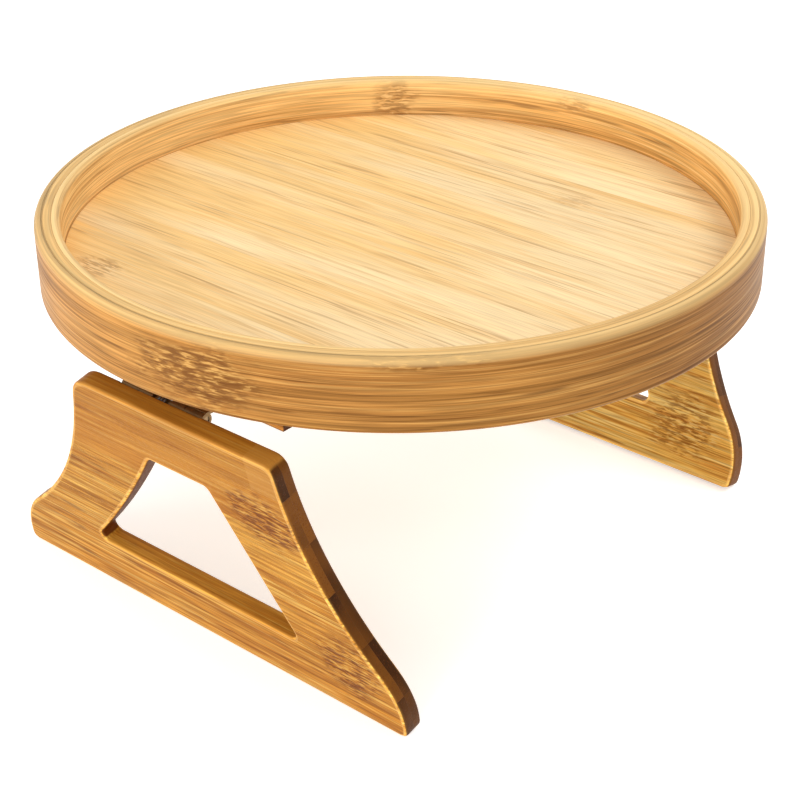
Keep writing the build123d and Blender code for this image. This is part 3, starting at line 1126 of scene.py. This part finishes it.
def joinCopies(name, mesh, places):
    # One mesh with a copy of the given one at each place, each turned a little further.
    work = bmesh.new()
    for index, place in enumerate(places):
        copy = mesh.copy()
        turned = screw["firstTurn"] + screw["turnStep"] * index
        copy.transform(place @ Matrix.Rotation(turned, 4, "Z"))
        work.from_mesh(copy)
        bpy.data.meshes.remove(copy)
    joined = bpy.data.meshes.new(name)
    work.to_mesh(joined)
    work.free()
    finishMesh(joined, screw["sharpAngle"])
    return addObject(name, joined)


def facing(point, outWay):
    # A place whose Z axis runs along the given way.
    turned = Vector(outWay).to_track_quat("Z", "Y").to_matrix().to_4x4()
    return Matrix.Translation(Vector(point)) @ turned


def makeScrews():
    steel = metal("screw")
    plateScrew, battenScrew = screwMesh(screw["plateLength"]), screwMesh(screw["battenLength"])
    plateFace = leaf["faceAbovePin"]
    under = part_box("far_batten")[0][2]
    narrow, wide = screw["plateSpacing"] / 2, screw["battenSpacing"] / 2
    downward = (0, 0, -1)
    fixed, batten = [], []
    for name, side in sides.items():
        place, out = leafPlace(side), leafWays(side)[2]
        swing = [facing(place([x, screw["plateReach"], plateFace]), -out) for x in (-narrow, narrow)]
        piece = joinCopies(name + "LeafScrews", plateScrew, swing)
        dress(piece, steel, name + "_side", "screw_steel", name + "_swing_plate_screws")
        y = side * (pinOut - screw["plateReach"])
        fixed += [facing((x, y, pinHeight + plateFace), downward) for x in (-narrow, narrow)]
        batten += [facing((x, side * screw["battenOut"], under), downward) for x in (-wide, wide)]
    dress(joinCopies("hingeScrews", plateScrew, fixed), steel, "tray", "screw_steel", "fixed_plate_screws")
    dress(joinCopies("battenScrewSet", battenScrew, batten), steel, "tray", "screw_steel", "batten_screws")


# Battens
battenWood = {
    **leaf["wood"],
    "seed": 41.0,
    "stripWidth": 0.0062,
    "stripStart": 0.0,
    "plyWidth": 0.02,
    "plyStart": 0.115,
    "acrossWay": (0.0, 1.0, 0.0),
    "edgeAmount": 0.0,
    "pale": (176, 116, 52),
    "deep": (150, 92, 36),
    "light": (196, 138, 70),
    "endDark": (44, 20, 6),
    "endPale": (72, 34, 10),
    "edgeHighlightPale": None,
}


def makeHardware():
    batten = bambooWood("battenBamboo", plainSpace, battenWood)
    plate, pin, wire = metal("hinge"), metal("pin"), metal("spring")
    parts = {"batten": batten, "fixed_plate": plate, "swing_plate": plate, "hinge_pin": pin}
    for name, side in sides.items():
        for part, material in parts.items():
            for slot in frame["nodes"][name + "_" + part].material_slots:
                slot.material = material
        makeSpring(name, side, wire)


for sideName, sideSign in sides.items():
    makeLeaf(sideName, sideSign)
print("leaves made")
makeHardware()
makeScrews()
print("hinges, springs and screws made")

# Floor, light and camera
studio = {
    "floorSize": 12.0,
    "floorColour": (244, 244, 244),
    "floorRough": 0.9,
    "floorLift": 0.50,
    "worldStrength": 0.70,
    "lamps": {
        "front": {"place": (-0.45, -1.9, 0.50), "size": 1.3, "power": 22.0},
        "side": {"place": (0.8, -1.8, 0.20), "size": 0.4, "power": 17.0},
        "top": {"place": (0.8, 0.9, 1.7), "size": 1.2, "power": 15.0},
    },
    "aim": (0.0, 0.0, 0.1),
}


def seenOrMirrored(tree):
    # One for rays from the camera and for mirrored or refracted ones.
    rays = addNode("LightPath", {}, tree).outputs
    some = calc("MAXIMUM", rays["Is Camera Ray"], rays["Is Glossy Ray"])
    return calc("MAXIMUM", some, rays["Is Transmission Ray"])


def makeFloor():
    half = studio["floorSize"] / 2
    corners = [(x, y, 0) for x, y in rectangle(-half, half, -half, half)]
    floor = makePiece("floor", corners, [[0, 1, 2, 3]])
    material, tree, shader = newMaterial("floorPaper")
    setInputs(shader, {
        "Base Color": linear(studio["floorColour"]),
        "Roughness": studio["floorRough"],
        "Specular IOR Level": 0.0,
        "Emission Color": white,
        "Emission Strength": times(seenOrMirrored(tree), studio["floorLift"]),
    })
    # seen from below, the floor is clear, so that the underside can be looked at
    clear = addNode("BsdfTransparent", {}, tree).outputs[0]
    backwards = addNode("NewGeometry", {}, tree).outputs["Backfacing"]
    mixed = addNode("MixShader", {0: backwards, 1: shader.outputs[0], 2: clear}).outputs[0]
    setInputs(tree.nodes["Material Output"], {"Surface": mixed})
    floor.data.materials.append(material)


def makeLight():
    world = bpy.data.worlds.new("studio")
    world.use_nodes = True
    tree = world.node_tree
    strength = ramp(seenOrMirrored(tree), 0.0, 1.0, studio["worldStrength"], 1.0, "LINEAR")
    setInputs(tree.nodes["Background"], {"Color": white, "Strength": strength})
    scene.world = world
    for name, lamp in studio["lamps"].items():
        data = bpy.data.lights.new(name + "Lamp", "AREA")
        data.shape, data.size, data.energy = "DISK", lamp["size"], lamp["power"]
        light = addObject(name + "Lamp", data)
        light.location = lamp["place"]
        way = Vector(studio["aim"]) - Vector(lamp["place"])
        light.rotation_euler = way.to_track_quat("-Z", "Y").to_euler()


# The camera stands at the photograph's angle: heading from +Y, pitch below the horizon and roll
photoView = {
    "heading": 40.76,
    "pitch": 28.98,
    "roll": 0.53,
    "lens": 81.0,
    "sensor": 36.0,
    "nearest": 0.01,
    "sideways": -0.00095,
    "back": 0.69416,
    "aboveTray": 0.31537,
}


def makeCamera():
    data = bpy.data.cameras.new("camera")
    data.lens, data.sensor_width = photoView["lens"], photoView["sensor"]
    data.clip_start = photoView["nearest"]
    camera = addObject("camera", data)
    heading = radians(photoView["heading"])
    right = Vector((np.cos(heading), np.sin(heading), 0))
    ahead = Vector((-np.sin(heading), np.cos(heading), 0))
    level = right * photoView["sideways"] - ahead * photoView["back"]
    camera.location = level + Vector((0, 0, trayBottom + photoView["aboveTray"]))
    tilt = Euler((radians(90 - photoView["pitch"]), 0, heading)).to_matrix()
    roll = Matrix.Rotation(radians(-photoView["roll"]), 3, "Z")
    camera.rotation_euler = (tilt @ roll).to_euler()
    scene.camera = camera


makeFloor()
makeLight()
makeCamera()
print("floor, light and camera set")
